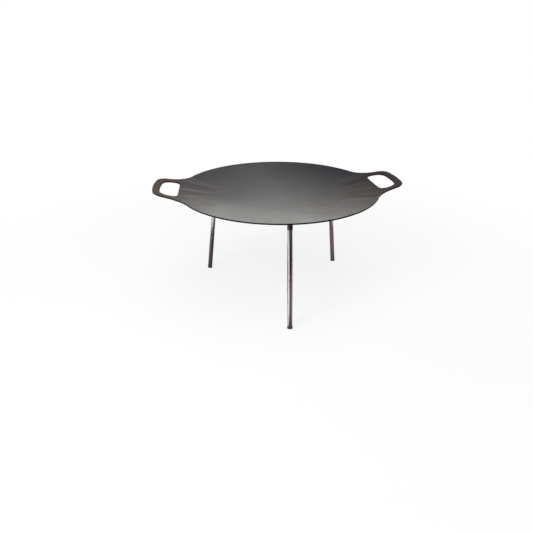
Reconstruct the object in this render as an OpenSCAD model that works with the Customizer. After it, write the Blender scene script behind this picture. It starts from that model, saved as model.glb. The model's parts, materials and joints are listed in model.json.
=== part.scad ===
// A camp griddle: a dished steel pan with a handle on each side, cut and pressed from one sheet,
// on three legs that screw into sockets welded under it.
// The origin is on the ground under the middle of the pan. +X runs through the right handle,
// -Y points to the front leg and +Z is up.

/* [Pan] */
// Diameter of the pan across its rim
pan_d = 480; // [440:5:560]
// Depth of the dish, from the rim down to the middle of the cooking face
dish_depth = 24; // [18:1:32]
// Thickness of the steel sheet
sheet_t = 3; // [2:0.5:4]

/* [Handles] */
// How far a handle reaches past the rim
handle_reach = 57; // [52:1:68]
// Width of a handle at its widest
handle_w = 139; // [126:1:150]
// Radius of the handle's outer edge, seen from above
handle_edge_r = 266; // [200:1:360]
// Radius of the handle's outer corners
handle_corner_r = 31; // [24:1:38]
// Radius of the hollow curve that runs from the handle into the rim
handle_neck_r = 80; // [55:1:100]
// Width of the grip bar, from the finger opening to the outer edge
grip_w = 16; // [12:1:20]
// Depth of the finger opening, from the pan to the grip bar
opening_depth = 42; // [41:1:46]
// Width of the finger opening
opening_w = 106; // [96:1:116]
// Radius of the opening's corners beside the grip bar
opening_grip_corner_r = 26; // [16:1:27]
// Radius of the opening's corners beside the pan
opening_pan_corner_r = 12; // [6:1:14]

/* [Leg sockets] */
// How far in from the rim, seen from above, the leg axes meet the underside
leg_inset = 65; // [40:1:90]
// Outer diameter of a socket
socket_d = 12; // [11:0.5:16]
// Length of a socket
socket_len = 25; // [22:1:34]
// Width of the weld bead on the pan and on the socket
weld_leg = 4; // [2.5:0.5:6]
// Gap between the weld bead and the side of the socket
weld_gap = 0.05; // [0.02:0.01:0.1]

/* [Thread] */
// Nominal diameter of the thread
thread_d = 8; // [6:1:8]
// Length of thread that stands out of a leg and into its socket
thread_reach = 20; // [14:1:21]
// Radial play between the stud's thread and the socket's thread
thread_play = 0.05; // [0.02:0.01:0.1]

/* [Legs] */
// Outer diameter of a leg tube
tube_d = 12; // [11.5:0.5:16]
// Wall of a leg tube
tube_wall = 1.5; // [1:0.25:2]
// Length of a leg tube
tube_len = 230; // [180:1:320]
// Length of the stud's shank inside the tube
shank_len = 22; // [12:1:40]
// How far the stud's shank lies below the end of the tube
shank_recess = 0.5; // [0.2:0.1:1]
// Chamfer on the meeting ends of leg, socket and stud
end_chamfer = 0.5; // [0.2:0.1:0.7]
// Radial play of the pieces that are driven into the tube
tube_play = 0.05; // [0.02:0.01:0.1]

/* [Feet] */
// How far a foot stands out round its tube
foot_flare = 0.5; // [0.2:0.1:1.5]
// Height of the foot below the tube
foot_len = 3; // [2:0.5:6]
// Radius of the foot's lower edge
foot_edge_r = 1.2; // [0.4:0.1:1.8]
// Length of the plug that holds the foot in the tube
plug_len = 12; // [8:1:30]

/* [Hidden] */
// Compass angles of the legs, seen from above: the front leg stands square to the handles
leg_spacing = 120;
front_angle = -90;
rear_right_angle = front_angle + leg_spacing;
rear_left_angle = rear_right_angle + leg_spacing;

// The cooking face and the underside are spheres about one centre
pan_r = pan_d / 2;
dish_r = (pan_r^2 + dish_depth^2) / (2 * dish_depth);
under_r = dish_r + sheet_t;

// The legs stand square to the underside, so their axes meet in the dish's centre
leg_circle_r = pan_r - leg_inset;
leg_tilt = asin(leg_circle_r / under_r);
socket_r = socket_d / 2;
thread_r = thread_d / 2;
tube_r = tube_d / 2;
bore_r = tube_r - tube_wall;
foot_r = tube_r + foot_flare;
leg_drop = socket_len + tube_len + foot_len;

// Height of the dish's centre at which the lower edge of each foot touches the ground
dish_centre_z = (under_r + leg_drop - foot_edge_r) * cos(leg_tilt)
    + (foot_r - foot_edge_r) * sin(leg_tilt) + foot_edge_r;

// Plan of a handle: its tip, the corner circles and the neck circles that run into the rim
handle_tip = pan_r + handle_reach;
opening_tip = handle_tip - grip_w;
opening_start = opening_tip - opening_depth;
opening_edge_r = handle_edge_r - grip_w;
handle_corner = end_corner(handle_tip, handle_edge_r, handle_corner_r, handle_w / 2);
opening_corner = end_corner(opening_tip, opening_edge_r, opening_grip_corner_r, opening_w / 2);
neck_centre = circles_meet([0, 0], pan_r + handle_neck_r, handle_corner, handle_corner_r + handle_neck_r);
neck_on_rim = neck_centre * pan_r / (pan_r + handle_neck_r);
neck_on_corner = handle_corner
    + (neck_centre - handle_corner) * handle_corner_r / (handle_corner_r + handle_neck_r);

// Height that clears the whole pressing, from below the dish to above the handles' tips
pressing_h = 2 * (dish_depth + handle_reach);

// How far curves that run into each other overlap, so that they always meet
curve_overlap = 0.02;

// Smoothness of the drawn curves, finer on the large ones
$fn = 96;
large_fn = 360;

// Centre of the upper corner circle of an end whose outer edge is an arc through [tip, 0]
function end_corner(tip, edge_r, corner_r, half_w) = [
    tip - edge_r + sqrt((edge_r - corner_r)^2 - (half_w - corner_r)^2),
    half_w - corner_r
];

// The point at distance ra from a and rb from b, on the left of the way from a to b
function circles_meet(a, ra, b, rb) =
    let (
        d = norm(b - a),
        along = (b - a) / d,
        reach = (ra^2 - rb^2 + d^2) / (2 * d),
        side = sqrt(ra^2 - reach^2)
    )
    a + reach * along + side * [-along[1], along[0]];

function flip(p) = [p[0], -p[1]];

// The outer end of a handle or an opening in plan: the arc between its two corner circles
module end_arc(tip, edge_r, corner) {
    centre = [tip - edge_r, 0];
    beyond = centre + (corner - centre) * 2 * edge_r / norm(corner - centre);
    intersection() {
        translate(centre) circle(edge_r - curve_overlap, $fn = large_fn);
        polygon([flip(corner), flip(beyond), beyond, corner]);
    }
}

// Plan of the right handle, from the middle of the pan to its tip
module handle_plan() {
    difference() {
        polygon([
            [0, 0], flip(neck_on_rim), flip(neck_on_corner), flip(handle_corner),
            handle_corner, neck_on_corner, neck_on_rim
        ]);
        for (p = [neck_centre, flip(neck_centre)])
            translate(p) circle(handle_neck_r + curve_overlap, $fn = large_fn);
    }
    for (p = [handle_corner, flip(handle_corner)])
        translate(p) circle(handle_corner_r);
    end_arc(handle_tip, handle_edge_r, handle_corner);
}

// Plan of the right handle's finger opening
module opening_plan() {
    half_w = opening_w / 2;
    inner = [opening_start + opening_pan_corner_r, half_w - opening_pan_corner_r];
    for (p = [inner, flip(inner)])
        translate(p) circle(opening_pan_corner_r);
    polygon([
        [opening_start, -inner[1]], [inner[0], -half_w], [opening_corner[0], -half_w],
        [opening_corner[0], half_w], [inner[0], half_w], [opening_start, inner[1]]
    ]);
    for (p = [opening_corner, flip(opening_corner)])
        translate(p)
            intersection() {
                circle(opening_grip_corner_r);
                translate([0, -opening_w]) square(2 * opening_w);
            }
    end_arc(opening_tip, opening_edge_r, opening_corner);
}

// Plan of the blank that the pan is pressed from
module blank_plan() {
    difference() {
        union() {
            circle(pan_r, $fn = large_fn);
            for (side = [0, 1])
                mirror([side, 0]) handle_plan();
        }
        for (side = [0, 1])
            mirror([side, 0]) opening_plan();
    }
}

// The blank pressed to a spherical dish, which the handles carry on outwards
module griddle_pan() {
    color("#55524f")
    difference() {
        intersection() {
            translate([0, 0, dish_centre_z - under_r - sheet_t])
                linear_extrude(pressing_h) blank_plan();
            dish_sphere(under_r);
        }
        dish_sphere(dish_r);
    }
}

// A sphere about the dish's centre, with its poles away from the pan
module dish_sphere(r) {
    translate([0, 0, dish_centre_z])
        rotate([90, 0, 0])
            sphere(r, $fn = large_fn);
}

// Puts a leg's piece in place: its axis is Z, with 0 on the underside of the pan and the foot at -Z
module at_leg(angle) {
    translate([0, 0, dish_centre_z])
        rotate([0, -leg_tilt, angle])
            translate([0, 0, -under_r])
                children();
}

// Threaded socket, whose bore stands for the thread
module socket() {
    thread_bore_r = thread_r + thread_play;
    color("#4b4643")
    rotate_extrude()
        polygon([
            [thread_bore_r, 0], [socket_r, 0],
            [socket_r, end_chamfer - socket_len], [socket_r - end_chamfer, -socket_len],
            [thread_bore_r + end_chamfer, -socket_len], [thread_bore_r, end_chamfer - socket_len]
        ]);
}

// Weld bead round the top of a socket
module socket_weld() {
    color("#6e655e")
    rotate_extrude()
        translate([socket_r, 0])
            intersection() {
                circle(weld_leg);
                translate([weld_gap, -weld_leg]) square(weld_leg);
            }
}

// Stud that holds a leg in its socket: a shank in the tube and a thread above it
module leg_stud() {
    tube_top = -socket_len;
    tip = tube_top + thread_reach;
    shank_top = tube_top - shank_recess;
    shank_end = shank_top - shank_len;
    shank_r = bore_r - tube_play;
    color("#8c8782")
    rotate_extrude()
        polygon([
            [0, tip], [thread_r - end_chamfer, tip], [thread_r, tip - end_chamfer],
            [thread_r, shank_top], [shank_r, shank_top],
            [shank_r, shank_end + end_chamfer], [shank_r - end_chamfer, shank_end], [0, shank_end]
        ]);
}

// Leg tube, which butts against the end of its socket
module leg_tube() {
    tube_top = -socket_len;
    color("#5b514d")
    rotate_extrude()
        polygon([
            [bore_r, tube_top], [tube_r - end_chamfer, tube_top], [tube_r, tube_top - end_chamfer],
            [tube_r, tube_top - tube_len], [bore_r, tube_top - tube_len]
        ]);
}

// Foot with a rounded edge, on a plug that is driven into the tube
module foot_plug() {
    tube_end = -socket_len - tube_len;
    foot_end = tube_end - foot_len;
    edge_at = foot_r - foot_edge_r;
    color("#3d3633")
    rotate_extrude() {
        translate([0, tube_end]) square([bore_r - tube_play, plug_len]);
        translate([0, foot_end + foot_edge_r]) square([foot_r, foot_len - foot_edge_r]);
        translate([0, foot_end]) square([edge_at, foot_len]);
        translate([edge_at, foot_end + foot_edge_r]) circle(foot_edge_r);
    }
}

griddle_pan();

at_leg(front_angle) socket();  // front_socket
at_leg(rear_right_angle) socket();  // rear_right_socket
at_leg(rear_left_angle) socket();  // rear_left_socket

at_leg(front_angle) socket_weld();  // front_socket_weld
at_leg(rear_right_angle) socket_weld();  // rear_right_socket_weld
at_leg(rear_left_angle) socket_weld();  // rear_left_socket_weld

at_leg(front_angle) leg_stud();  // front_leg_stud
at_leg(rear_right_angle) leg_stud();  // rear_right_leg_stud
at_leg(rear_left_angle) leg_stud();  // rear_left_leg_stud

at_leg(front_angle) leg_tube();  // front_leg_tube
at_leg(rear_right_angle) leg_tube();  // rear_right_leg_tube
at_leg(rear_left_angle) leg_tube();  // rear_left_leg_tube

at_leg(front_angle) foot_plug();  // front_foot_plug
at_leg(rear_right_angle) foot_plug();  // rear_right_foot_plug
at_leg(rear_left_angle) foot_plug();  // rear_left_foot_plug
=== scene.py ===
# %% [markdown]
# # A camp griddle on three screw-in legs
# The griddle is one sheet of carbon steel, cut out with a loop handle on each side and pressed to a
# shallow dish. Three steel legs screw into sockets that are welded under it, so it packs flat.
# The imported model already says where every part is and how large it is, in metres. This script only
# dresses it: each part gets a finer mesh and a finish of its own, in the same place.

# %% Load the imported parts
import json
import math

import bmesh
import bpy
import numpy as np
from mathutils import Matrix, Vector, noise
from mathutils.geometry import delaunay_2d_cdt
from mathutils.kdtree import KDTree


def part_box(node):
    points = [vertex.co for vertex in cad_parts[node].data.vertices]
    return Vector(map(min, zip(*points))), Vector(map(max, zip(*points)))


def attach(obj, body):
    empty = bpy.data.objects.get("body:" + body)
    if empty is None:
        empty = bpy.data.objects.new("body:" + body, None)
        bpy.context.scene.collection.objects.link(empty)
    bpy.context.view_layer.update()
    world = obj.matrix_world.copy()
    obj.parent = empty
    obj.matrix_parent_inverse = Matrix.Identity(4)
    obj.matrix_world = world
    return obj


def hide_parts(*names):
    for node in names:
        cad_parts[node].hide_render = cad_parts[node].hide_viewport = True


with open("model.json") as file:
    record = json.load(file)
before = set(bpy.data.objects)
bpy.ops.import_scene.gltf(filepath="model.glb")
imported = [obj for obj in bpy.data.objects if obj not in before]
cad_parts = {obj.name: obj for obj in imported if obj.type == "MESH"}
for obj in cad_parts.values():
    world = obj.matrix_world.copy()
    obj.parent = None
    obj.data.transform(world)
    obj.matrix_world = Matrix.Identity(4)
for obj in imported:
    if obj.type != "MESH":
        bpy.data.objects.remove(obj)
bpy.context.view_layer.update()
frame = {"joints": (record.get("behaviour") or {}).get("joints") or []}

# %% [markdown]
# ## Where the photographer stood
# The camera is found from the object: it stands where the rim, the handles and the three feet fall on
# the same places of the picture as in the photograph. It could be aimed with a Track To constraint,
# but a direction and a small roll say the same thing in numbers that can be measured.

# %% Set up the camera
CAMERA_AT_MM = (-138.7, -954.0, 569.2)
LOOKS_ALONG = (0.1002, 0.8737, -0.4760)
CAMERA_ROLL_DEG = -0.136
FOCAL_LENGTH_PX = 406.4
PICTURE_PX = 533
SENSOR_MM = 36


def mm(length):
    """Millimetres as metres, the unit of the frame."""
    return length / 1000


lens = bpy.data.cameras.new("camera")
lens.sensor_width = SENSOR_MM
lens.lens = SENSOR_MM * FOCAL_LENGTH_PX / PICTURE_PX
camera = bpy.data.objects.new("camera", lens)
bpy.context.scene.collection.objects.link(camera)
aim = Vector(LOOKS_ALONG).to_track_quat("-Z", "Y").to_matrix().to_4x4()
roll = Matrix.Rotation(math.radians(CAMERA_ROLL_DEG), 4, "Z")
camera.matrix_world = Matrix.Translation([mm(c) for c in CAMERA_AT_MM]) @ aim @ roll
bpy.context.scene.camera = camera
bpy.context.scene.view_settings.view_transform = "Standard"
print(f"camera with a {lens.lens:.1f} mm lens at", tuple(camera.location))

# %% [markdown]
# ## Small helpers for node trees
# Colours are written as the hex values that a colour picker shows, which are sRGB. Shaders want linear
# light, so one function converts them. A second one links what feeds a node, and a third adds a node,
# sets it and links it in one call.

# %% Colour and node helpers
def linear(hex_colour):
    """An sRGB hex colour as linear RGBA."""
    parts = [int(hex_colour[i:i + 2], 16) / 255 for i in (1, 3, 5)]
    return [c / 12.92 if c <= 0.04045 else ((c + 0.055) / 1.055) ** 2.4 for c in parts] + [1]


# The colour sockets of a Mix node, which shares their names with its number and vector sockets
A, B, MIXED = 6, 7, 2


def feed(tree, node, links):
    """Links a source to each named input of a node."""
    for socket, source in links.items():
        tree.links.new(source, node.inputs[socket])


def add(tree, kind, values=None, links=None, **settings):
    """Adds a shader node, sets its properties and input values, and links what feeds it."""
    made = tree.nodes.new("ShaderNode" + kind)
    for name, value in settings.items():
        setattr(made, name, value)
    for socket, value in (values or {}).items():
        made.inputs[socket].default_value = value
    feed(tree, made, links or {})
    return made


print("steel grey #8a8782 in linear light:", [round(c, 3) for c in linear("#8a8782")])

# %% [markdown]
# ## The studio
# The griddle was photographed in front of a white paper sweep. Steel shows its surroundings, so these
# make most of its look: bright near the horizon, where the sweep is lit, darker overhead, and darkest
# low down behind the camera. A picture of a real studio could be wrapped round the scene. A sky that is
# worked out from the direction needs no file, and each part of it can be tuned by itself.

# %% Light the surroundings
SWEEP_GLOW = 1.55
SWEEP_LIES_TOWARDS = (-0.35, 0.94, 0.0)
# Cosines of the angle from the sweep between which the dark side turns into its glow
DARK_ENDS, GLOW_FULL = -0.9, 0.6
DARK_SIDE = 0.3
DARK_LOW_DOWN = 0.06
LOW_DOWN = 0.2
FALL_OVERHEAD = 0.022
LOW_TINT = linear("#fefefc")
HIGH_TINT = linear("#dcd8e2")

world = bpy.data.worlds.new("studio")
bpy.context.scene.world = world
world.use_nodes = True
sky = world.node_tree
sky.nodes.clear()
toward = add(sky, "TexCoord").outputs["Generated"]
height = add(sky, "SeparateXYZ", links={"Vector": toward}).outputs["Z"]
above = add(sky, "Math", {1: 0.0}, {0: height}, operation="MAXIMUM").outputs[0]
fall = add(sky, "Math", {0: FALL_OVERHEAD}, {1: above}, operation="POWER").outputs[0]
facing = add(sky, "VectorMath", {1: SWEEP_LIES_TOWARDS}, {0: toward},
             operation="DOT_PRODUCT").outputs["Value"]
dark = add(sky, "MapRange", {"From Max": LOW_DOWN, "To Min": DARK_LOW_DOWN, "To Max": DARK_SIDE},
           {"Value": above}).outputs[0]
side = add(sky, "MapRange", {"From Min": DARK_ENDS, "From Max": GLOW_FULL, "To Max": SWEEP_GLOW},
           {"Value": facing, "To Min": dark}, interpolation_type="SMOOTHSTEP").outputs[0]
glow = add(sky, "Math", links={0: fall, 1: side}, operation="MULTIPLY").outputs[0]
tint = add(sky, "Mix", {A: LOW_TINT, B: HIGH_TINT}, {0: above}, data_type="RGBA").outputs[MIXED]
studio = add(sky, "Background", links={"Color": tint, "Strength": glow}).outputs[0]
paper = add(sky, "Background", {"Color": (1, 1, 1, 1), "Strength": 1}).outputs[0]
to_camera = add(sky, "LightPath").outputs["Is Camera Ray"]
seen = add(sky, "MixShader", links={0: to_camera, 1: studio, 2: paper}).outputs[0]
add(sky, "OutputWorld", links={"Surface": seen})
print("world nodes:", len(sky.nodes))

# %% [markdown]
# In the steel the paper on the floor shows as it does in the photograph: white, but grey under the pan
# and dark in front, where the camera blocks the light. The edge between white and dark is the bright
# line that runs down each leg. Cards could be laid there, but the camera would see them too.

# %% Shade the floor as the steel sees it
PAPER_IN_STEEL = "#f6f3fb"
# Oval shades under the pan: the middle, the squeeze, the radii between which it fades, and the tone
UNDER_SHADES = (
    {"at": (0.0, 0.08, 0.0), "squeeze": (1.0, 2.05, 1.0), "radii": (0.36, 0.66), "tone": "#6c6360"},
    {"at": (-0.115, 0.04, 0.0), "squeeze": (1.0, 1.0, 1.0), "radii": (0.02, 0.15), "tone": "#2f2826"},
)
# In front: where the shade starts to spread, which way, and the cosines between which it ends
FRONT_SHADE_FROM = (-0.01, -0.208, 0.0)
FRONT_SHADE_WAY = (0.5, -0.87, 0.0)
FRONT_SHADE_ENDS = {"From Min": 0.72, "From Max": 0.36}
# It is lighter near the front foot: the distances between which it deepens, and both tones
FRONT_SHADE_DEEPENS = {"From Min": 0.2, "From Max": 0.7}
FRONT_SHADE_NEAR, FRONT_SHADE_FAR = linear("#625856"), linear("#362e2d")

paper_sheet = bpy.data.materials.new("matt_white_paper")
paper_sheet.use_nodes = True
tree = paper_sheet.node_tree
tree.nodes.clear()
place = add(tree, "TexCoord").outputs["Object"]
tone = add(tree, "RGB").outputs[0]
tone.default_value = linear(PAPER_IN_STEEL)
for shade in UNDER_SHADES:
    off = add(tree, "VectorMath", {1: shade["at"]}, {0: place}, operation="SUBTRACT").outputs[0]
    oval = add(tree, "VectorMath", {1: shade["squeeze"]}, {0: off}, operation="MULTIPLY").outputs[0]
    gap = add(tree, "VectorMath", links={0: oval}, operation="LENGTH").outputs["Value"]
    inner, outer = shade["radii"]
    lit = add(tree, "MapRange", {"From Min": inner, "From Max": outer}, {"Value": gap},
              interpolation_type="SMOOTHSTEP").outputs[0]
    tone = add(tree, "Mix", {A: linear(shade["tone"])}, {0: lit, B: tone},
               data_type="RGBA").outputs[MIXED]
off = add(tree, "VectorMath", {1: FRONT_SHADE_FROM}, {0: place}, operation="SUBTRACT").outputs[0]
way = add(tree, "VectorMath", links={0: off}, operation="NORMALIZE").outputs[0]
turn = add(tree, "VectorMath", {1: FRONT_SHADE_WAY}, {0: way}, operation="DOT_PRODUCT").outputs["Value"]
reach = add(tree, "VectorMath", links={0: off}, operation="LENGTH").outputs["Value"]
deep = add(tree, "MapRange", FRONT_SHADE_DEEPENS, {"Value": reach}).outputs[0]
front = add(tree, "Mix", {A: FRONT_SHADE_NEAR, B: FRONT_SHADE_FAR}, {0: deep},
            data_type="RGBA").outputs[MIXED]
lit = add(tree, "MapRange", FRONT_SHADE_ENDS, {"Value": turn}, interpolation_type="SMOOTHSTEP").outputs[0]
tone = add(tree, "Mix", links={0: lit, A: front, B: tone}, data_type="RGBA").outputs[MIXED]
print("shades on the floor:", len(UNDER_SHADES) + 1)

# %% [markdown]
# The paper is nearly white and takes a soft shadow. It is a plain matt surface for the light, and for
# the camera part of its brightness is its own, so it stays white without more light on the steel. Far
# out it turns into the backdrop with no edge. A bent sweep would do that too, but it would get in the
# way of other views.

# %% Lay the floor
FLOOR_R = 8.0
FLOOR_SIDES = 96
SHADOW_SHARE = 0.17
SWEEP_BEGINS = 0.25
SWEEP_ENDS = 1.2

matt = add(tree, "BsdfDiffuse", {"Color": linear("#fbfbfb")}).outputs[0]
ray = add(tree, "LightPath").outputs
far = add(tree, "VectorMath", links={0: place}, operation="LENGTH").outputs["Value"]
own = add(tree, "MapRange",
          {"From Min": SWEEP_BEGINS, "From Max": SWEEP_ENDS, "To Min": 1 - SHADOW_SHARE},
          {"Value": far}, interpolation_type="SMOOTHSTEP").outputs[0]
to_steel = add(tree, "Math", links={0: ray["Is Glossy Ray"], 1: ray["Is Transmission Ray"]},
               operation="MAXIMUM").outputs[0]
to_camera = add(tree, "Math", links={0: own, 1: ray["Is Camera Ray"]}, operation="MULTIPLY").outputs[0]
share = add(tree, "Math", links={0: to_steel, 1: to_camera}, operation="MAXIMUM").outputs[0]
in_steel = add(tree, "Emission", {"Strength": 1}, {"Color": tone}).outputs[0]
white = add(tree, "Emission", {"Color": (1, 1, 1, 1), "Strength": 1}).outputs[0]
glow = add(tree, "MixShader", links={0: ray["Is Camera Ray"], 1: in_steel, 2: white}).outputs[0]
both = add(tree, "MixShader", links={0: share, 1: matt, 2: glow}).outputs[0]
add(tree, "OutputMaterial", links={"Surface": both})

bm = bmesh.new()
bmesh.ops.create_circle(bm, cap_ends=True, segments=FLOOR_SIDES, radius=FLOOR_R)
floor_mesh = bpy.data.meshes.new("floor")
bm.to_mesh(floor_mesh)
bm.free()
floor_mesh.materials.append(paper_sheet)
floor = bpy.data.objects.new("floor", floor_mesh)
bpy.context.scene.collection.objects.link(floor)
print("floor radius in metres:", FLOOR_R)

# %% [markdown]
# A softbox stands at the camera's left and throws the soft shadow. A much larger one hangs overhead and
# lights the dish evenly. Spot lamps would be simpler, but satin steel would show them as hot spots, and
# a lamp with a real size shows as a broad sheen.

# %% Hang the softboxes
SOFTBOXES = {
    "key_softbox": {"at": (-1.25, -1.15, 1.08), "size": (0.7, 1.3), "watts": 26},
    "top_softbox": {"at": (0.3, -0.5, 2.4), "size": (2.6, 2.6), "watts": 40},
}
LIGHT_AIM = Vector((0, 0, 0.15))

for name, box in SOFTBOXES.items():
    lamp = bpy.data.lights.new(name, "AREA")
    lamp.shape = "RECTANGLE"
    lamp.size, lamp.size_y = box["size"]
    lamp.energy = box["watts"]
    softbox = bpy.data.objects.new(name, lamp)
    bpy.context.scene.collection.objects.link(softbox)
    softbox.location = box["at"]
    softbox.rotation_euler = (LIGHT_AIM - softbox.location).to_track_quat("-Z", "Y").to_euler()
    print(name, box["watts"], "W")

# %% [markdown]
# ## The plan of the blank
# The flat blank is drawn with arcs that run into each other without a corner. A curve object with
# handles would do too, but arcs keep the true radii and their ends can be worked out. A few helpers
# find where two arcs meet and turn them into points.

# %% Helpers for lines made of arcs
ARC_STEP = mm(0.5)


def end_corner(tip, edge_r, corner_r, half_w):
    """Centre of the corner circle of a rounded end whose outer edge is an arc through (tip, 0)."""
    reach = math.sqrt((edge_r - corner_r) ** 2 - (half_w - corner_r) ** 2)
    return Vector((tip - edge_r + reach, half_w - corner_r))


def circles_meet(a, a_r, b, b_r):
    """The point at distance a_r from a and b_r from b, on the left of the way from a to b."""
    way = (b - a).normalized()
    gap = (b - a).length
    reach = (a_r ** 2 - b_r ** 2 + gap ** 2) / (2 * gap)
    return a + reach * way + math.sqrt(a_r ** 2 - reach ** 2) * Vector((-way.y, way.x))


def heading(vector):
    """The angle of a direction, from the X axis."""
    return math.atan2(vector.y, vector.x)


def arc(centre, radius, start, end):
    """Points about an arc step apart, along an arc between two angles."""
    count = max(2, round(abs(end - start) * radius / ARC_STEP))
    angles = np.linspace(start, end, count + 1)
    return [centre + radius * Vector((math.cos(t), math.sin(t))) for t in angles]


def mirrored(points, x, y):
    """Points with both coordinates times 1 or -1."""
    return [Vector((p.x * x, p.y * y)) for p in points]


def evenly(points, step):
    """A closed line with its points spread evenly, about a step apart."""
    line = np.array([tuple(p) for p in points + points[:1]])
    along = np.concatenate(([0], np.cumsum(np.hypot(*np.diff(line, axis=0).T))))
    spots = np.linspace(0, along[-1], round(along[-1] / step), endpoint=False)
    return np.stack([np.interp(spots, along, line[:, k]) for k in (0, 1)], axis=1)


print("arcs have a point every", ARC_STEP, "m")

# %% [markdown]
# The outline runs along the outer edge of the handle, a round corner, a hollow neck and the rim. One
# quarter is enough, because the rest mirrors it. The finger opening keeps the width of the grip, with
# a large corner at the grip and a small one at the pan.

# %% Draw the outline and the finger openings
PAN_R = mm(240)
HANDLE_REACH = mm(57)
HANDLE_W = mm(139)
HANDLE_EDGE_R = mm(266)
HANDLE_CORNER_R = mm(31)
HANDLE_NECK_R = mm(80)
GRIP_W = mm(16)
OPENING_DEPTH = mm(42)
OPENING_W = mm(106)
OPENING_GRIP_CORNER_R = mm(26)
OPENING_PAN_CORNER_R = mm(12)
EDGE_STEP = mm(2)
MIDDLE = Vector((0, 0))

handle_tip = PAN_R + HANDLE_REACH
edge_centre = Vector((handle_tip - HANDLE_EDGE_R, 0))
corner = end_corner(handle_tip, HANDLE_EDGE_R, HANDLE_CORNER_R, HANDLE_W / 2)
neck = circles_meet(MIDDLE, PAN_R + HANDLE_NECK_R, corner, HANDLE_CORNER_R + HANDLE_NECK_R)
at_corner, at_neck, at_rim = heading(corner - edge_centre), heading(neck - corner), heading(neck)
quarter = arc(edge_centre, HANDLE_EDGE_R, 0, at_corner)
quarter += arc(corner, HANDLE_CORNER_R, at_corner, at_neck)
quarter += arc(neck, HANDLE_NECK_R, at_neck - math.pi, at_rim - math.pi)
quarter += arc(MIDDLE, PAN_R, at_rim, math.pi / 2)
half = quarter + mirrored(quarter[::-1], -1, 1)
outline = evenly(half + mirrored(half[::-1], 1, -1), EDGE_STEP)

opening_tip = handle_tip - GRIP_W
opening_edge_r = HANDLE_EDGE_R - GRIP_W
grip_corner = end_corner(opening_tip, opening_edge_r, OPENING_GRIP_CORNER_R, OPENING_W / 2)
pan_side = Vector((opening_tip - OPENING_DEPTH, OPENING_W / 2))
pan_corner = pan_side + OPENING_PAN_CORNER_R * Vector((1, -1))
at_grip = heading(grip_corner - edge_centre)
upper = arc(edge_centre, opening_edge_r, 0, at_grip)
upper += arc(grip_corner, OPENING_GRIP_CORNER_R, at_grip, math.pi / 2)
upper += arc(pan_corner, OPENING_PAN_CORNER_R, math.pi / 2, math.pi)
right_opening = upper + mirrored(upper[::-1], 1, -1)
left_opening = mirrored(right_opening[::-1], -1, 1)
openings = [evenly(right_opening, EDGE_STEP), evenly(left_opening, EDGE_STEP)]
print("outline points:", len(outline), "and opening points:", [len(o) for o in openings])

# %% [markdown]
# ## Pressing the dish
# Both faces of the pressing are spheres about one centre. Where the handles leave the rim the sheet had
# nowhere to go, so the press left shallow flutes there that run towards the middle of the pan. The
# flutes bend the whole sheet, top and underside alike, so they are real shape and not a bump map.
# The sheet is also a little uneven everywhere, as pressed sheet is, except where the sockets sit.

# %% Work out the dish and its flutes
DISH_DEPTH = mm(24)
SHEET_T = mm(3)
UNEVEN = mm(0.1)
UNEVEN_SPREAD = mm(95)
SOCKET_LEN = mm(25)
SOCKET_SEAT_R = mm(14)
SOCKET_CLEAR_R = mm(34)
FLUTE_BEGINS = mm(138)
FLUTE_FULL = mm(196)
FLUTE_FADES = mm(228)
FLUTE_ENDS = mm(264)
# Each flute: degrees round from the right handle, half-width and height in mm, negative for a hollow
FLUTES = (
    (14, 13, 0.48), (5, 8, -0.32), (-10, 14, 0.34), (-26, 12, -0.5),
    (153, 12, -0.42), (164, 12, 0.55), (174, 8, -0.42), (180, 6, 0.36), (187, 8, -0.34), (204, 14, 0.26),
)

LEGS = ("front", "rear_right", "rear_left")
turn_joints = {leg: next(j for j in frame["joints"] if j["name"] == leg + "_leg_turn") for leg in LEGS}
seats = [Vector(joint["pos_m"]) - SOCKET_LEN * Vector(joint["axis"]) for joint in turn_joints.values()]
dish_r = (PAN_R ** 2 + DISH_DEPTH ** 2) / (2 * DISH_DEPTH)
dish_centre_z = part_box("griddle_pan")[0].z + dish_r + SHEET_T


def smooth_step(value, start, end):
    """Rises smoothly from 0 at start to 1 at end."""
    share = np.clip((value - start) / (end - start), 0, 1)
    return share * share * (3 - 2 * share)


def pressed_shape(x, y):
    """How far the pressed sheet lies above the true sphere, at points of the plan."""
    lift = np.zeros_like(x)
    for angle, half_width, rise in FLUTES:
        c, s = math.cos(math.radians(angle)), math.sin(math.radians(angle))
        out, across = x * c + y * s, y * c - x * s
        fade = smooth_step(out, FLUTE_BEGINS, FLUTE_FULL) * (1 - smooth_step(out, FLUTE_FADES, FLUTE_ENDS))
        lift += mm(rise) * fade * np.exp(-(across / mm(half_width)) ** 2)
    spots = np.stack([x, y, np.zeros_like(x)], axis=1) / UNEVEN_SPREAD
    lift += UNEVEN * np.array([noise.noise(spot) for spot in spots])
    for seat in seats:
        lift *= smooth_step(np.hypot(x - seat.x, y - seat.y), SOCKET_SEAT_R, SOCKET_CLEAR_R)
    return lift


def sheet_points(plan, through):
    """Points of the pressing over a plan, at a share of the way through the sheet from its top."""
    x, y = plan[:, 0], plan[:, 1]
    top = dish_centre_z - np.sqrt(dish_r ** 2 - x ** 2 - y ** 2)
    under = dish_centre_z - np.sqrt((dish_r + SHEET_T) ** 2 - x ** 2 - y ** 2)
    return np.stack([x, y, top + (under - top) * through + pressed_shape(x, y)], axis=1)


print(f"the dish is part of a sphere of {dish_r:.3f} m about a centre {dish_centre_z:.3f} m up")

# %% [markdown]
# The edge is a strip of rings round the outline and round each opening, with a rounded upper edge and a
# smaller rounding below. A bevel modifier could round it, but it would need the sharp mesh first and
# would leave less even faces. Each point also keeps how far through the sheet it lies, for the finish.

# %% Ring the edges of the sheet
TOP_ROUND = mm(1.0)
UNDER_ROUND = mm(0.45)
ROUND_STEPS = 5
EDGE_BANDS = (mm(4.6), mm(2.6), mm(1.4))

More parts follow.
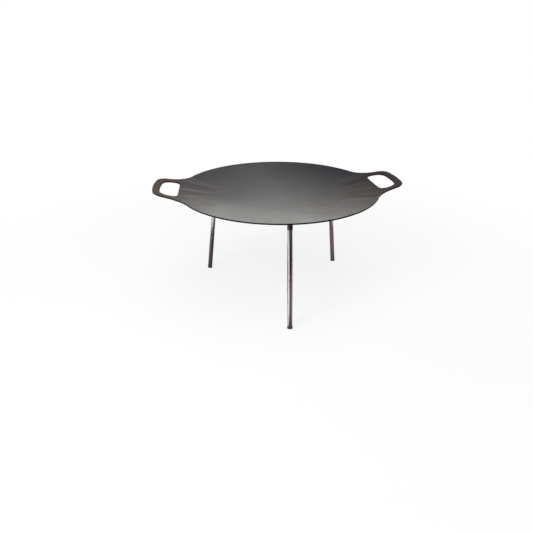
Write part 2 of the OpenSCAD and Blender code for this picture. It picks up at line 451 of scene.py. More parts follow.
bm = bmesh.new()
through_layer = bm.verts.layers.float.new("through_sheet")


def inset(loop, distance, side):
    """A closed line moved sideways by a distance, to its left for side 1 and to its right for -1."""
    way = np.roll(loop, -1, axis=0) - np.roll(loop, 1, axis=0)
    way /= np.linalg.norm(way, axis=1, keepdims=True)
    return loop + side * distance * np.stack([-way[:, 1], way[:, 0]], axis=1)


def edge_profile():
    """The sheet's edge as steps inwards from the outline, with the share of the way through it."""
    profile = [(band, 0.0) for band in EDGE_BANDS]
    bends = np.linspace(0, math.pi / 2, ROUND_STEPS)
    for t in bends:
        profile.append((TOP_ROUND * (1 - math.sin(t)), TOP_ROUND * (1 - math.cos(t)) / SHEET_T))
    for t in bends:
        profile.append((UNDER_ROUND * (1 - math.cos(t)), 1 - UNDER_ROUND * (1 - math.sin(t)) / SHEET_T))
    return profile + [(band, 1.0) for band in EDGE_BANDS[::-1]]


def add_points(plan, through):
    """Adds points of the pressing that all lie at one share of the way through the sheet."""
    made = [bm.verts.new(point) for point in sheet_points(plan, through)]
    for vert in made:
        vert[through_layer] = through
    return made


edges = [(outline, 1)] + [(opening, -1) for opening in openings]
for loop, side in edges:
    rings = [add_points(inset(loop, step, side), through) for step, through in edge_profile()]
    for ring, below in zip(rings, rings[1:]):
        for i in range(len(ring)):
            bm.faces.new((ring[i - 1], ring[i], below[i], below[i - 1]))
print("faces round the edges:", len(bm.faces))

# %% [markdown]
# The two faces are filled with near-even triangles, so the reflections run smoothly over them. A plain
# fill of the outline would give long thin triangles that show in the shine. Rows of points are laid out
# on the plan, joined by a Delaunay triangulation, and what lies in the openings is taken out.

# %% Fill the faces of the sheet
FILL_STEP = mm(3.4)
EDGE_CLEARANCE = 0.75 * FILL_STEP
MERGE = mm(0.002)
INSIDE_ONLY = 1
SAME_POINT = 1e-7


def within(points, loop):
    """Which points lie inside a closed line, by counting the edges to the right of each."""
    x, y = points[:, :1], points[:, 1:]
    start, end = loop, np.roll(loop, -1, axis=0)
    level = (start[:, 1] > y) != (end[:, 1] > y)
    rise = np.where(end[:, 1] == start[:, 1], 1, end[:, 1] - start[:, 1])
    slope = (end[:, 0] - start[:, 0]) / rise
    return (level & (x < start[:, 0] + (y - start[:, 1]) * slope)).sum(axis=1) % 2 == 1


borders = [inset(loop, EDGE_BANDS[0], side) for loop, side in edges]
border_points = np.concatenate(borders)
near = KDTree(len(border_points))
for i, (x, y) in enumerate(border_points):
    near.insert((x, y, 0), i)
near.balance()
rows = np.arange(-PAN_R, PAN_R, FILL_STEP * math.sqrt(3) / 2)
columns = np.arange(-handle_tip, handle_tip, FILL_STEP)
filling = [(x + FILL_STEP / 2 * (k % 2), y) for k, y in enumerate(rows) for x in columns]
filling = [p for p in filling if near.find((*p, 0))[2] > EDGE_CLEARANCE]
links, first = [], 0
for border in borders:
    links += [(first + i, first + (i + 1) % len(border)) for i in range(len(border))]
    first += len(border)
points = [Vector(p) for p in border_points] + [Vector(p) for p in filling]
flat, _, triangles, *_ = delaunay_2d_cdt(points, links, [], INSIDE_ONLY, SAME_POINT)
middles = np.array([sum((flat[i] for i in triangle), MIDDLE) / 3 for triangle in triangles])
cut_out = within(middles, borders[1]) | within(middles, borders[2])
triangles = [triangle for triangle, gone in zip(triangles, cut_out) if not gone]
used = sorted({i for triangle in triangles for i in triangle})
plan = np.array([tuple(flat[i]) for i in used])
for through in (0.0, 1.0):
    made = dict(zip(used, add_points(plan, through)))
    for triangle in triangles:
        bm.faces.new([made[i] for i in triangle])
bmesh.ops.remove_doubles(bm, verts=bm.verts, dist=MERGE)
bmesh.ops.recalc_face_normals(bm, faces=bm.faces)
pan_mesh = bpy.data.meshes.new("griddle_pan_pressing")
open_edges = sum(not edge.is_manifold for edge in bm.edges)
bm.to_mesh(pan_mesh)
bm.free()
pan_mesh.shade_smooth()
print("pan faces:", len(pan_mesh.polygons), "and open edges:", open_edges)

# %% [markdown]
# ## Finish of the pan: carbon steel, cold rolled, pressed and oiled
# Cold-rolled sheet is satin, not mirror bright. It keeps a fine grain from the rolls, and soft clouds
# and smears of oil. Each of them is a noise at a real size. A painted picture could do the same, but it
# would need a file and would blur close up. The grain and grit are really under 0.1 mm, and are drawn
# coarser so that they show.

# %% Draw the patterns of the rolled sheet
CLOUD_MM = 110
SMEAR_MM = 34
GRAIN_MM = (46, 0.9, 0.9)
GRIT_MM = 0.8


def per_metre(sizes_mm):
    """How often a pattern with a size along each axis repeats in a metre."""
    return [1 / mm(size) for size in sizes_mm]


def new_metal(name):
    """A material with a metal shader, its tree, the shader and the piece's own coordinates."""
    made = bpy.data.materials.new(name)
    made.use_nodes = True
    nodes = made.node_tree
    nodes.nodes.clear()
    shader = add(nodes, "BsdfPrincipled", {"Metallic": 1})
    add(nodes, "OutputMaterial", links={"Surface": shader.outputs[0]})
    return made, nodes, shader, add(nodes, "TexCoord").outputs["Object"]


pan_steel, tree, shader, here = new_metal("cold_rolled_carbon_steel_oiled")
clouds = add(tree, "TexNoise", {"Scale": 1 / mm(CLOUD_MM), "Detail": 3, "Roughness": 0.45},
             {"Vector": here}).outputs[0]
smears = add(tree, "TexNoise", {"Scale": 1 / mm(SMEAR_MM), "Detail": 5, "Distortion": 0.6},
             {"Vector": here}).outputs[0]
stretched = add(tree, "Mapping", {"Scale": per_metre(GRAIN_MM)}, {"Vector": here}).outputs[0]
grain = add(tree, "TexNoise", {"Scale": 1, "Detail": 3}, {"Vector": stretched}).outputs[0]
grit = add(tree, "TexNoise", {"Scale": 1 / mm(GRIT_MM), "Detail": 2}, {"Vector": here}).outputs[0]
across, away, _ = add(tree, "SeparateXYZ", links={"Vector": here}).outputs
aside = add(tree, "Math", links={0: across}, operation="ABSOLUTE").outputs[0]
print("nodes for the patterns:", len(tree.nodes))

# %% [markdown]
# The near left of the dish is painted paler, as a painted highlight. Elsewhere a thin oxide tints the
# sheet brown here and blue there, more towards the handles. One noise gives both tints: brown where it
# is low and blue where it is high.

# %% Tint the sheet
# Which way and how far the painted highlight on the near left of the dish spreads
PAINTED_HIGHLIGHT_WAY = (-0.6, -0.8, 0.0)
PAINTED_HIGHLIGHT_SPREAD = {"From Min": mm(50), "From Max": mm(160)}
DULL_SHEET, PALE_SHEET = linear("#9b9998"), linear("#acadaa")
OXIDE_MM = 75
OXIDE_SEED = 2
# How far to each side the oxide begins and is strongest, and how much of it shows there
OXIDE_SHOWS = {"From Min": mm(70), "From Max": mm(180), "To Min": 0.15, "To Max": 0.65}
# Each tint goes from the noise's middle value, where there is none, to a value where it is full
OXIDE_TINTS = (
    ({"From Min": 0.5, "From Max": 0.36}, "#a08f85"),
    ({"From Min": 0.5, "From Max": 0.64}, "#8d95a6"),
)

# A painted highlight: the near left of the dish turns paler
toward = add(tree, "VectorMath", {1: PAINTED_HIGHLIGHT_WAY}, {0: here}, operation="DOT_PRODUCT").outputs["Value"]
painted_highlight = add(tree, "MapRange", PAINTED_HIGHLIGHT_SPREAD, {"Value": toward}, interpolation_type="SMOOTHSTEP").outputs[0]
# The pale tone takes both the random clouds and the painted highlight
clean = add(tree, "Math", links={0: painted_highlight, 1: clouds}, operation="MAXIMUM").outputs[0]
sheet = add(tree, "Mix", {A: DULL_SHEET, B: PALE_SHEET}, {0: clean}, data_type="RGBA").outputs[MIXED]
oxide = add(tree, "TexNoise",
            {"Scale": 1 / mm(OXIDE_MM), "Detail": 2, "Distortion": 0.4, "W": OXIDE_SEED},
            {"Vector": here}, noise_dimensions="4D").outputs[0]
shows = add(tree, "MapRange", OXIDE_SHOWS, {"Value": aside}).outputs[0]
shows = add(tree, "MapRange", {"To Max": 0.0}, {"Value": painted_highlight, "To Min": shows}).outputs[0]
for grows, tint in OXIDE_TINTS:
    share = add(tree, "MapRange", grows, {"Value": oxide, "To Max": shows}).outputs[0]
    sheet = add(tree, "Mix", {B: linear(tint)}, {0: share, A: sheet}, data_type="RGBA").outputs[MIXED]
print("tints of the oxide:", len(OXIDE_TINTS))

# %% [markdown]
# Painted shade darkens the sheet towards both handles, most on the right and at the far side, least on
# the near left. The painted shade is brown, and bluer towards the far side. The handles are browner
# still, where the sheet was worked hardest, and the right one is darker than the left, also as painted
# shade.

# %% Paint shade towards the handles and brown them
# Where the painted shade begins across the pan, at two distances away from its middle
RIGHT_BEGINS_NEAR = {"From Min": mm(-200), "From Max": mm(-50), "To Min": mm(28), "To Max": mm(5)}
RIGHT_BEGINS_FAR = {"From Min": mm(90), "From Max": mm(160), "To Max": mm(-45)}
LEFT_BEGINS = {"From Min": mm(-100), "From Max": mm(-20), "To Min": mm(-150), "To Max": mm(-10)}
# Where it is thickest, and how much it then covers
RIGHT_THICKEST = {"From Max": mm(200), "To Max": 1.0}
LEFT_THICKEST = {"From Max": mm(-200), "To Max": 0.58}
# The painted shade turns bluer towards the far side: which way, how far, and its two tones
SHADE_COOLS_WAY = (0.25, 0.97, 0.0)
SHADE_COOLS = {"From Min": mm(40), "From Max": mm(190)}
BROWN_SHADE_TONE, BLUE_SHADE_TONE = linear("#615954"), linear("#575863")
HANDLE_WORKED = {"From Min": mm(205), "From Max": mm(262)}
# The handles' brown: lit on the left, in painted shade on the right
LIT_LEFT_HANDLE, SHADED_RIGHT_HANDLE = linear("#7b6d67"), linear("#5b504b")

begins = add(tree, "MapRange", RIGHT_BEGINS_NEAR, {"Value": away}).outputs[0]
begins = add(tree, "MapRange", RIGHT_BEGINS_FAR, {"Value": away, "To Min": begins}).outputs[0]
right = add(tree, "MapRange", RIGHT_THICKEST, {"Value": across, "From Min": begins}).outputs[0]
begins = add(tree, "MapRange", LEFT_BEGINS, {"Value": away}).outputs[0]
left = add(tree, "MapRange", LEFT_THICKEST, {"Value": across, "From Min": begins}).outputs[0]
# Painted shade on the sheet, most on the right and at the far side
painted_shade = add(tree, "Math", links={0: right, 1: left}, operation="MAXIMUM").outputs[0]
toward = add(tree, "VectorMath", {1: SHADE_COOLS_WAY}, {0: here}, operation="DOT_PRODUCT").outputs["Value"]
cool = add(tree, "MapRange", SHADE_COOLS, {"Value": toward}).outputs[0]
oil_and_shade = add(tree, "Mix", {A: BROWN_SHADE_TONE, B: BLUE_SHADE_TONE}, {0: cool}, data_type="RGBA").outputs[MIXED]
oiled_and_shaded = add(tree, "Mix", links={0: painted_shade, A: sheet, B: oil_and_shade}, data_type="RGBA").outputs[MIXED]
worked = add(tree, "MapRange", HANDLE_WORKED, {"Value": aside},
             interpolation_type="SMOOTHSTEP").outputs[0]
# The right handle is darker than the left: painted shade
brown = add(tree, "Mix", {A: LIT_LEFT_HANDLE, B: SHADED_RIGHT_HANDLE}, {0: right}, data_type="RGBA").outputs[MIXED]
browned_and_shaded = add(tree, "Mix", links={0: worked, A: oiled_and_shaded, B: brown}, data_type="RGBA").outputs[MIXED]
print("film of oil across:", LEFT_THICKEST["From Max"], "to", RIGHT_THICKEST["From Max"], "m")

# %% [markdown]
# Welding left heat colours on the underside round each socket: straw outside, where it was less hot,
# and blue inside. They are rings about the seats of the sockets, and the smears make their edges wander.

# %% Heat the underside round the welds
HEAT_RINGS = (
    {"inner": mm(19), "outer": mm(27), "tone": "#8d6f48"},
    {"inner": mm(15), "outer": mm(19), "tone": "#4d566c"},
)
HEAT_SHARE = 0.6
HEAT_WANDER = mm(6)
HALF_THROUGH = 0.5

through = add(tree, "Attribute", attribute_name="through_sheet").outputs["Fac"]
below = add(tree, "Math", {1: HALF_THROUGH}, {0: through}, operation="GREATER_THAN").outputs[0]
heated = browned_and_shaded
for ring in HEAT_RINGS:
    fades = {"From Min": ring["outer"], "From Max": ring["inner"], "To Max": HEAT_SHARE}
    hot = None
    for seat in seats:
        gap = add(tree, "VectorMath", {1: seat}, {0: here}, operation="DISTANCE").outputs["Value"]
        gap = add(tree, "Math", {1: HEAT_WANDER}, {0: smears, 2: gap}, operation="MULTIPLY_ADD").outputs[0]
        warm = add(tree, "MapRange", fades, {"Value": gap}).outputs[0]
        hot = add(tree, "Math", links={0: warm, 1: hot or warm}, operation="MAXIMUM").outputs[0]
    hot = add(tree, "Math", links={0: hot, 1: below}, operation="MULTIPLY").outputs[0]
    heated = add(tree, "Mix", {B: linear(ring["tone"])}, {0: hot, A: heated},
                 data_type="RGBA").outputs[MIXED]
print("heat rings:", len(HEAT_RINGS) * len(seats))

# %% [markdown]
# The cut edge is painted near black, as painted shade, and is rough, with fine upright marks from
# shearing, drawn coarse enough to show. How far a point lies through the sheet tells the edge from both
# faces.

# %% Darken the sheared edge
SHEAR_MM = (0.7, 0.7, 8)
EDGE_BEGINS = {"From Min": 0.0, "From Max": 0.03}
EDGE_ENDS = {"From Min": 0.99, "From Max": 0.93}
# Near-black tones of the cut edge: painted shade, with the shearing marks a little lighter
PAINTED_EDGE_SHADE, SHADED_SHEAR_MARKS = linear("#0f0d0e"), linear("#2a2627")

upright = add(tree, "Mapping", {"Scale": per_metre(SHEAR_MM)}, {"Vector": here}).outputs[0]
shear = add(tree, "TexNoise", {"Scale": 1, "Detail": 3}, {"Vector": upright}).outputs[0]
shaded_edge = add(tree, "Mix", {A: PAINTED_EDGE_SHADE, B: SHADED_SHEAR_MARKS}, {0: shear}, data_type="RGBA").outputs[MIXED]
upper = add(tree, "MapRange", EDGE_BEGINS, {"Value": through}).outputs[0]
lower = add(tree, "MapRange", EDGE_ENDS, {"Value": through}).outputs[0]
cut = add(tree, "Math", links={0: upper, 1: lower}, operation="MULTIPLY").outputs[0]
colour = add(tree, "Mix", links={0: cut, A: heated, B: shaded_edge}, data_type="RGBA").outputs[MIXED]
print("nodes for the colour:", len(tree.nodes))

# %% [markdown]
# The sheet is satin, a little uneven where the oil smeared, with faint streaks along the grain. The
# worked handles and the sheared edge are duller. Grain and grit are only a bump, since they are too
# fine for the mesh.

# %% Give the pan its shine
SATIN = {"From Min": 0.3, "From Max": 0.7, "To Min": 0.34, "To Max": 0.42}
STREAKS = {"To Min": -0.05, "To Max": 0.05}
DULLER = 0.16
SHEAR_DEPTH = 2.0
RELIEF = {"Strength": 0.25, "Distance": mm(0.02)}

rough = add(tree, "MapRange", SATIN, {"Value": smears}).outputs[0]
streak = add(tree, "MapRange", STREAKS, {"Value": grain}).outputs[0]
rough = add(tree, "Math", links={0: rough, 1: streak}, operation="ADD").outputs[0]
dull = add(tree, "Math", links={0: worked, 1: cut}, operation="MAXIMUM").outputs[0]
rough = add(tree, "Math", {1: DULLER}, {0: dull, 2: rough}, operation="MULTIPLY_ADD").outputs[0]
fine = add(tree, "Math", links={0: grain, 1: grit}, operation="ADD").outputs[0]
marks = add(tree, "Math", {1: SHEAR_DEPTH}, {0: shear}, operation="MULTIPLY").outputs[0]
height = add(tree, "MapRange", links={"Value": cut, "To Min": fine, "To Max": marks}).outputs[0]
relief = add(tree, "Bump", RELIEF, {"Height": height}).outputs[0]
feed(tree, shader, {"Base Color": colour, "Roughness": rough, "Normal": relief})


def show(mesh, material, name, body, node, matrix=None):
    """Puts a finished mesh in the scene in place of a CAD node, on the body that carries it."""
    if not mesh.materials:
        mesh.materials.append(material)
    piece = bpy.data.objects.new(name, mesh)
    bpy.context.scene.collection.objects.link(piece)
    piece.matrix_world = matrix or Matrix.Identity(4)
    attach(piece, body)
    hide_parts(node)
    return piece


pan = show(pan_mesh, pan_steel, "griddle_pan_pressing", "pan", "griddle_pan")
print(pan.name, "with", len(tree.nodes), "nodes in its steel")

# %% [markdown]
# ## The three legs
# Each leg leans outwards, square to the dish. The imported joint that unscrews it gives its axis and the
# point where its tube meets the socket. Every leg part is built once, upright about that point, and
# then set on the three axes, so that its finish can also follow the leg.

# %% Find the leg axes
def leg_axes(leg):
    """A leg's own axes: Z up the leg, X leaning outwards, and 0 where the tube meets the socket."""
    up = -Vector(turn_joints[leg]["axis"])
    side = up.cross(Vector((-up.x, -up.y, 0))).normalized()
    lean = Matrix((side.cross(up), side, up)).transposed().to_4x4()
    return Matrix.Translation(turn_joints[leg]["pos_m"]) @ lean


axes = {leg: leg_axes(leg) for leg in LEGS}
for leg, matrix in axes.items():
    print(leg, "leg meets its socket at", [round(c, 4) for c in matrix.translation])

# %% [markdown]
# ## Turned parts
# Tube, socket, stud and foot are round, so each is a profile spun about its axis. Spinning in bmesh
# leaves a real mesh with no modifier. Sharp corners catch no light, so those of the tube and the foot
# get a small round, as a file or a tumbling barrel leaves it.

# %% Spin the tubes and the feet
TUBE_R = mm(6)
TUBE_BORE_R = mm(4.5)
TUBE_LEN = mm(230)
END_CHAMFER = mm(0.5)
FOOT_R = mm(6.5)
FOOT_LEN = mm(3)
FOOT_EDGE_R = mm(1.2)
FOOT_EDGE_STEPS = 7
PLUG_LEN = mm(12)
FIT_PLAY = mm(0.05)
CORNER_ROUND = mm(0.12)
TURNED_SIDES = 64
SHARP = math.radians(30)


def spin(bm, profile, closed=False):
    """Turns a profile of (radius, height) points about Z."""
    points = [bm.verts.new((r, 0, z)) for r, z in profile]
    lines = [bm.edges.new(pair) for pair in zip(points, points[1:])]
    if closed:
        lines.append(bm.edges.new((points[-1], points[0])))
    bmesh.ops.spin(bm, geom=points + lines, cent=(0, 0, 0), axis=(0, 0, 1), angle=math.tau,
                   steps=TURNED_SIDES, use_merge=True)
    bmesh.ops.remove_doubles(bm, verts=bm.verts, dist=MERGE)


def finished(bm, name, corner_round=0):
    """Rounds the sharp corners and hands the mesh over, smooth apart from what stays sharp."""
    bmesh.ops.recalc_face_normals(bm, faces=bm.faces)
    if corner_round:
        sharp = [e for e in bm.edges if e.is_manifold and e.calc_face_angle() > SHARP]
        bmesh.ops.bevel(bm, geom=sharp, offset=corner_round, segments=2, profile=0.5, affect="EDGES")
    mesh = bpy.data.meshes.new(name)
    bm.to_mesh(mesh)
    open_edges = sum(not e.is_manifold for e in bm.edges)
    bm.free()
    mesh.shade_smooth()
    mesh.set_sharp_from_angle(angle=SHARP)
    print(name, "faces:", len(mesh.polygons), "and open edges:", open_edges)
    return mesh


bm = bmesh.new()
spin(bm, [(TUBE_BORE_R, 0), (TUBE_R - END_CHAMFER, 0), (TUBE_R, -END_CHAMFER), (TUBE_R, -TUBE_LEN),
          (TUBE_BORE_R, -TUBE_LEN)], closed=True)
tube_mesh = finished(bm, "leg_tube", CORNER_ROUND)

foot_low = -TUBE_LEN - FOOT_LEN
foot_edge = []
for t in np.linspace(0, math.pi / 2, FOOT_EDGE_STEPS):
    inwards, upwards = FOOT_EDGE_R * (1 - math.sin(t)), FOOT_EDGE_R * (1 - math.cos(t))
    foot_edge.append((FOOT_R - inwards, foot_low + upwards))
plug_r = TUBE_BORE_R - FIT_PLAY
plug_top = PLUG_LEN - TUBE_LEN
bm = bmesh.new()
spin(bm, [(0, foot_low), *foot_edge, (FOOT_R, -TUBE_LEN), (plug_r, -TUBE_LEN), (plug_r, plug_top),
          (0, plug_top)])
foot_mesh = finished(bm, "foot_plug", CORNER_ROUND)

# %% [markdown]
# ## Studs and sockets with a real thread
# The leg is held by an M8 thread with a pitch of 1.25 mm, which shows when a leg is unscrewed. The thread
# could be a bump map, but then its outline would stay straight. Here a grid climbs one pitch per turn,
# with two rows on the crest and two in the root, and two planes trim it to length.

# %% Make a thread
PITCH = mm(1.25)
THREAD_R = mm(3.95)
# The depth of a metric thread, as a share of its pitch
THREAD_DEPTH = 0.6134 * PITCH
THREAD_STEPS = 48
# Share of a pitch and whether the thread is at its root there
THREAD_ROWS = ((0, 0), (1 / 8, 0), (7 / 16, 1), (11 / 16, 1))


def thread(bm, bottom, top, play, end_r):
    """Adds a thread between two heights. At both ends it runs out to the radius end_r."""
    inside = end_r > THREAD_R
    # Whole turns, with some to spare at both ends for the planes to trim
    first, last = math.floor(bottom / PITCH) - 2, math.ceil(top / PITCH) + 1
    columns = []
    for step in range(THREAD_STEPS):
        angle = math.tau * step / THREAD_STEPS
        column = []
        for turn in range(first, last):
            for share, root in THREAD_ROWS:
                z = (turn + share + step / THREAD_STEPS) * PITCH
                r = THREAD_R - root * THREAD_DEPTH + play
                into = min(top - z, z - bottom)
                r = max(r, end_r - into) if inside else min(r, end_r + into)
                column.append(bm.verts.new((r * math.cos(angle), r * math.sin(angle), z)))
        columns.append(column)
    # After a whole turn each row meets the same row of the next pitch
    columns.append(columns[0][len(THREAD_ROWS):])
    made = set(v for column in columns for v in column)
    for left, right in zip(columns, columns[1:]):
        for i in range(min(len(left), len(right)) - 1):
            bm.faces.new((left[i], right[i], right[i + 1], left[i + 1]))
    for height, way in ((bottom, -1), (top, 1)):
        kept = [v for v in made if v.is_valid]
        edges = {e for v in kept for e in v.link_edges}
        faces = {f for v in kept for f in v.link_faces}
        cut = bmesh.ops.bisect_plane(bm, geom=kept + list(edges) + list(faces), dist=MERGE / 10,
                                     plane_co=(0, 0, height), plane_no=(0, 0, way), clear_outer=True)
        made |= {g for g in cut["geom_cut"] if isinstance(g, bmesh.types.BMVert)}


print(f"thread {2000 * THREAD_R:.1f} mm across and {1000 * THREAD_DEPTH:.2f} mm deep")

# %% [markdown]
# The stud is a thread with a plain shank below it, which is fixed in the tube. The socket has the same
# thread, a little wider, inside a turned sleeve, so the two fit at every turn. Rings of open edges at
# one height are bridged, which leaves each part closed.

# %% Cut the studs and sockets
STUD_REACH = mm(20)
STUD_END_R = mm(3.1)
SHANK_RECESS = mm(0.5)
SHANK_LEN = mm(22)
SOCKET_R = mm(6)
SOCKET_MOUTH_R = mm(4.5)
SOCKET_FLAT = mm(0.25)
THREAD_PLAY = mm(0.08)


def open_edges_at(bm, height):
    """The edges of a hole in the mesh at a height."""
    return [e for e in bm.edges if e.is_boundary and all(abs(v.co.z - height) < MERGE for v in e.verts)]


shank_top, shank_end = -SHANK_RECESS, -SHANK_RECESS - SHANK_LEN
bm = bmesh.new()
thread(bm, shank_top, STUD_REACH, 0, STUD_END_R)
bmesh.ops.edgeloop_fill(bm, edges=open_edges_at(bm, STUD_REACH))
spin(bm, [(plug_r, shank_top), (plug_r, shank_end + END_CHAMFER), (plug_r - END_CHAMFER, shank_end),
          (0, shank_end)])
bmesh.ops.bridge_loops(bm, edges=open_edges_at(bm, shank_top))
stud_mesh = finished(bm, "leg_stud")

bm = bmesh.new()
thread(bm, 0, SOCKET_LEN, THREAD_PLAY, SOCKET_MOUTH_R)
mouth_r = SOCKET_MOUTH_R + SOCKET_FLAT
spin(bm, [(mouth_r, 0), (SOCKET_R - END_CHAMFER, 0), (SOCKET_R, END_CHAMFER), (SOCKET_R, SOCKET_LEN),
          (mouth_r, SOCKET_LEN)])
for height in (0, SOCKET_LEN):
    bmesh.ops.bridge_loops(bm, edges=open_edges_at(bm, height))
socket_mesh = finished(bm, "socket")

# %% [markdown]
# ## Weld beads
# Each socket is held by one run of weld. A weld is laid as a row of small pools that overlap like
# scales, so its section swells and dips as it goes round. A plain torus would be too even.

# %% Lay the weld beads
WELD_LEG = mm(4)
WELD_POOLS = 17
WELD_STEPS = 9
WELD_SECTION = 11
POOL_SWELL = 0.1
POOL_CURVE = 0.42
POOL_BLUNT = 0.6
WELD_WANDER = 0.05
WANDER_SPREAD = 3

bm = bmesh.new()
rings = []
for i in range(WELD_POOLS * WELD_STEPS):
    turn = i / (WELD_POOLS * WELD_STEPS)
    angle = math.tau * turn
    spot = (WANDER_SPREAD * math.cos(angle), WANDER_SPREAD * math.sin(angle), 1)
    wander = WELD_WANDER * noise.noise(spot)
    ring = []
    for bend in np.linspace(0, math.pi / 2, WELD_SECTION):
        pool = (turn * WELD_POOLS - POOL_CURVE * math.sin(2 * bend)) % 1
        swell = POOL_SWELL * math.sin(math.pi * pool) ** POOL_BLUNT
        size = WELD_LEG * (1 - POOL_SWELL + swell + wander)
        ring.append((SOCKET_R + size * math.cos(bend), SOCKET_LEN - size * math.sin(bend)))
    ring.append((SOCKET_R, SOCKET_LEN))
    rings.append([bm.verts.new((r * math.cos(angle), r * math.sin(angle), z)) for r, z in ring])
for ring, following in zip(rings, rings[1:] + rings[:1]):
    for k in range(len(ring)):
        bm.faces.new((ring[k - 1], ring[k], following[k], following[k - 1]))
weld_mesh = finished(bm, "socket_weld")

# %% [markdown]
# ## Finish of the legs: drawn steel tube with brown scale
# Drawn tube shines and keeps fine lines along its length, drawn here coarse enough to show. A thin
# brown-grey scale covers it, which is worn to patches of bare steel lower down, and the last few
# centimetres get darker towards the foot. All of these are metal to the eye, so the shader stays
# metallic, and only colour and roughness change from patch to patch. Soft dents make the long
# highlights waver, as on a real drawn tube. They are too shallow to show in its outline, so a bump will do.

# %% Make the leg steel
PATCH_MM = (3.5, 3.5, 7)
DRAW_LINE_MM = (0.7, 0.7, 45)
DENT_MM = (9, 9, 16)
# Heights along the leg, from the socket down
WORN = {"From Min": mm(-70), "From Max": mm(-170), "To Max": 0.2}
# Where the leg darkens towards the foot, and by how much
DARKENS_TOWARDS_FOOT = {"From Min": mm(-190), "From Max": -TUBE_LEN, "To Max": 0.45}
BARE = {"From Min": 0.52, "From Max": 0.68}
SCALE, BARE_STEEL, FOOT_TONE = linear("#ccc6c8"), linear("#e9e6e8"), linear("#7a6f70")
DRAWN_SHINE = {"To Min": 0.08, "To Max": 0.18}
BARE_ROUGHER = 0.14
LINE_RELIEF = {"Strength": 0.3, "Distance": mm(0.03)}
DENT_RELIEF = {"Strength": 0.35, "Distance": mm(0.25)}

leg_steel, tree, shader, here = new_metal("drawn_steel_tube_brown_scale")
spots = add(tree, "Mapping", {"Scale": per_metre(PATCH_MM)}, {"Vector": here}).outputs[0]
patches = add(tree, "TexNoise", {"Scale": 1, "Detail": 6, "Roughness": 0.62}, {"Vector": spots}).outputs[0]
lines = add(tree, "Mapping", {"Scale": per_metre(DRAW_LINE_MM)}, {"Vector": here}).outputs[0]
drawn = add(tree, "TexNoise", {"Scale": 1, "Detail": 3}, {"Vector": lines}).outputs[0]
soft = add(tree, "Mapping", {"Scale": per_metre(DENT_MM)}, {"Vector": here}).outputs[0]
dents = add(tree, "TexNoise", {"Scale": 1, "Detail": 2}, {"Vector": soft}).outputs[0]
low = add(tree, "SeparateXYZ", links={"Vector": here}).outputs["Z"]
worn = add(tree, "MapRange", WORN, {"Value": low}, interpolation_type="SMOOTHSTEP").outputs[0]
bare = add(tree, "Math", links={0: patches, 1: worn}, operation="ADD").outputs[0]
bare = add(tree, "MapRange", BARE, {"Value": bare}, interpolation_type="SMOOTHSTEP").outputs[0]
scaled = add(tree, "Mix", {A: SCALE, B: BARE_STEEL}, {0: bare}, data_type="RGBA").outputs[MIXED]
darker_to_foot = add(tree, "MapRange", DARKENS_TOWARDS_FOOT, {"Value": low}).outputs[0]
# The leg turns darker towards the foot
colour = add(tree, "Mix", {B: FOOT_TONE}, {0: darker_to_foot, A: scaled}, data_type="RGBA").outputs[MIXED]
rough = add(tree, "MapRange", DRAWN_SHINE, {"Value": drawn}).outputs[0]
rough = add(tree, "Math", {1: BARE_ROUGHER}, {0: bare, 2: rough}, operation="MULTIPLY_ADD").outputs[0]
fine = add(tree, "Bump", LINE_RELIEF, {"Height": drawn}).outputs[0]
relief = add(tree, "Bump", DENT_RELIEF, {"Height": dents, "Normal": fine}).outputs[0]
feed(tree, shader, {"Base Color": colour, "Roughness": rough, "Normal": relief})
for leg in LEGS:
    show(tube_mesh, leg_steel, leg + "_leg_tube_drawn", leg + "_leg", leg + "_leg_tube",
         axes[leg])
print("leg tubes in place:", len(LEGS))

# %% [markdown]
# ## Finish of the sockets and feet: turned steel, the sockets darkened by painted shade
# These were cut on a lathe, so fine rings run round them. They are duller than the tubes, and the
# sockets are painted dark, as painted shade under the pan. A foot is paler, and rubbed bright where it
# stands. Both are the same steel with other tones, so one loop makes them.

# %% Make the turned steel
RING_MM = (30, 30, 0.35)
GRIME_MM = 5
TURNED = {
    # The sockets' dark tones are painted shade under the pan
    "turned_steel_painted_shade": {"dull": "#4c4344", "clean": "#6c6465", "rubbed": 0.0},
    "turned_foot_steel_rubbed": {"dull": "#665c5b", "clean": "#9a9391", "rubbed": 0.75},
}
CLEAN_PATCH = {"From Min": 0.4, "From Max": 0.75}
TURNED_SHINE = {"To Min": 0.5, "To Max": 0.36}
RING_RELIEF = {"Strength": 0.4, "Distance": mm(0.04)}

turned_steel = {}
for name, look in TURNED.items():
    turned_steel[name], tree, shader, here = new_metal(name)
    squeezed = add(tree, "Mapping", {"Scale": per_metre(RING_MM)}, {"Vector": here}).outputs[0]
    tool_marks = add(tree, "TexNoise", {"Scale": 1, "Detail": 2}, {"Vector": squeezed}).outputs[0]
    grime = add(tree, "TexNoise", {"Scale": 1 / mm(GRIME_MM), "Detail": 5}, {"Vector": here}).outputs[0]
    low = add(tree, "SeparateXYZ", links={"Vector": here}).outputs["Z"]
    wears = {"From Min": foot_low + FOOT_EDGE_R, "From Max": foot_low, "To Max": look["rubbed"]}
    rubbed = add(tree, "MapRange", wears, {"Value": low}).outputs[0]
    patch = add(tree, "MapRange", CLEAN_PATCH, {"Value": grime}).outputs[0]
    light = add(tree, "Math", links={0: patch, 1: rubbed}, operation="MAXIMUM").outputs[0]
    colour = add(tree, "Mix", {A: linear(look["dull"]), B: linear(look["clean"])}, {0: light},
                 data_type="RGBA").outputs[MIXED]
    rough = add(tree, "MapRange", TURNED_SHINE, {"Value": patch}).outputs[0]
    relief = add(tree, "Bump", RING_RELIEF, {"Height": tool_marks}).outputs[0]
    feed(tree, shader, {"Base Color": colour, "Roughness": rough, "Normal": relief})
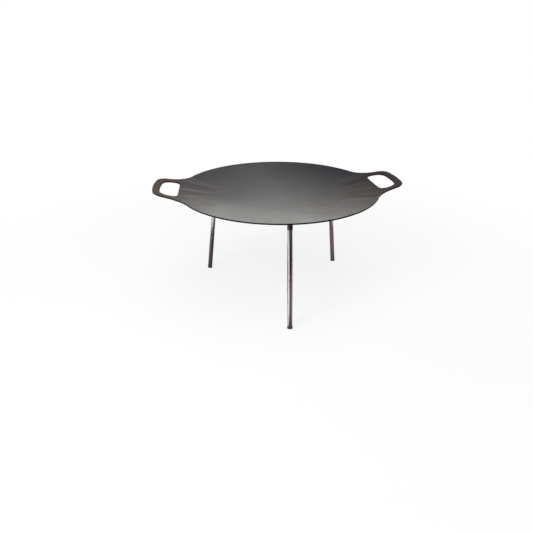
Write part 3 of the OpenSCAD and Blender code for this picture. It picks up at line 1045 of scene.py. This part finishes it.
for leg in LEGS:
    show(socket_mesh, turned_steel["turned_steel_painted_shade"], leg + "_socket_turned", "pan",
         leg + "_socket", axes[leg])
    show(foot_mesh, turned_steel["turned_foot_steel_rubbed"], leg + "_foot_turned", leg + "_leg",
         leg + "_foot_plug", axes[leg])
print("turned finishes:", sorted(turned_steel))

# %% [markdown]
# ## Finish of the studs: rolled thread on bright steel
# A rolled thread is bright, and oil stays on it in patches, which are darker and smoother to the eye.
# One noise of a few millimetres drives both.

# %% Make the stud steel
OIL_MM = 3
OILY_STUD, BRIGHT_STUD = linear("#8f8b86"), linear("#b9b5ae")
STUD_SHINE = {"To Min": 0.2, "To Max": 0.36}

stud_steel, tree, shader, here = new_metal("rolled_thread_bright_steel")
oil_and_shade = add(tree, "TexNoise", {"Scale": 1 / mm(OIL_MM), "Detail": 4}, {"Vector": here}).outputs[0]
colour = add(tree, "Mix", {A: OILY_STUD, B: BRIGHT_STUD}, {0: oil_and_shade}, data_type="RGBA").outputs[MIXED]
rough = add(tree, "MapRange", STUD_SHINE, {"Value": oil_and_shade}).outputs[0]
feed(tree, shader, {"Base Color": colour, "Roughness": rough})
print("nodes in the stud's steel:", len(tree.nodes))

# %% [markdown]
# ## Finish of the welds: weld metal with heat colours
# The weld metal went through every heat colour as it cooled, so it is grey with straw and blue in
# patches, and rough from its own scale.

# %% Make the weld steel and place studs and welds
HEAT_MM = 4
FLAKE_MM = 0.6
WELD_GREY, WELD_STRAW, WELD_BLUE = linear("#7c766f"), linear("#86694a"), linear("#555b6b")
BLUED = {"From Min": 0.52, "From Max": 0.68}
WELD_SHINE = {"To Min": 0.3, "To Max": 0.55}
FLAKE_RELIEF = {"Strength": 0.4, "Distance": mm(0.05)}

weld_steel, tree, shader, here = new_metal("weld_metal_heat_coloured")
heat = add(tree, "TexNoise", {"Scale": 1 / mm(HEAT_MM), "Detail": 3, "Distortion": 0.8},
           {"Vector": here}).outputs[0]
flakes = add(tree, "TexNoise", {"Scale": 1 / mm(FLAKE_MM), "Detail": 4}, {"Vector": here}).outputs[0]
straw = add(tree, "Mix", {A: WELD_GREY, B: WELD_STRAW}, {0: heat}, data_type="RGBA").outputs[MIXED]
blue = add(tree, "MapRange", BLUED, {"Value": heat}, interpolation_type="SMOOTHSTEP").outputs[0]
colour = add(tree, "Mix", {B: WELD_BLUE}, {0: blue, A: straw}, data_type="RGBA").outputs[MIXED]
rough = add(tree, "MapRange", WELD_SHINE, {"Value": flakes}).outputs[0]
relief = add(tree, "Bump", FLAKE_RELIEF, {"Height": flakes}).outputs[0]
feed(tree, shader, {"Base Color": colour, "Roughness": rough, "Normal": relief})
for leg in LEGS:
    show(stud_mesh, stud_steel, leg + "_leg_stud_thread", leg + "_leg", leg + "_leg_stud",
         axes[leg])
    show(weld_mesh, weld_steel, leg + "_socket_weld_bead", "pan", leg + "_socket_weld",
         axes[leg])
print("studs and welds in place:", 2 * len(LEGS))
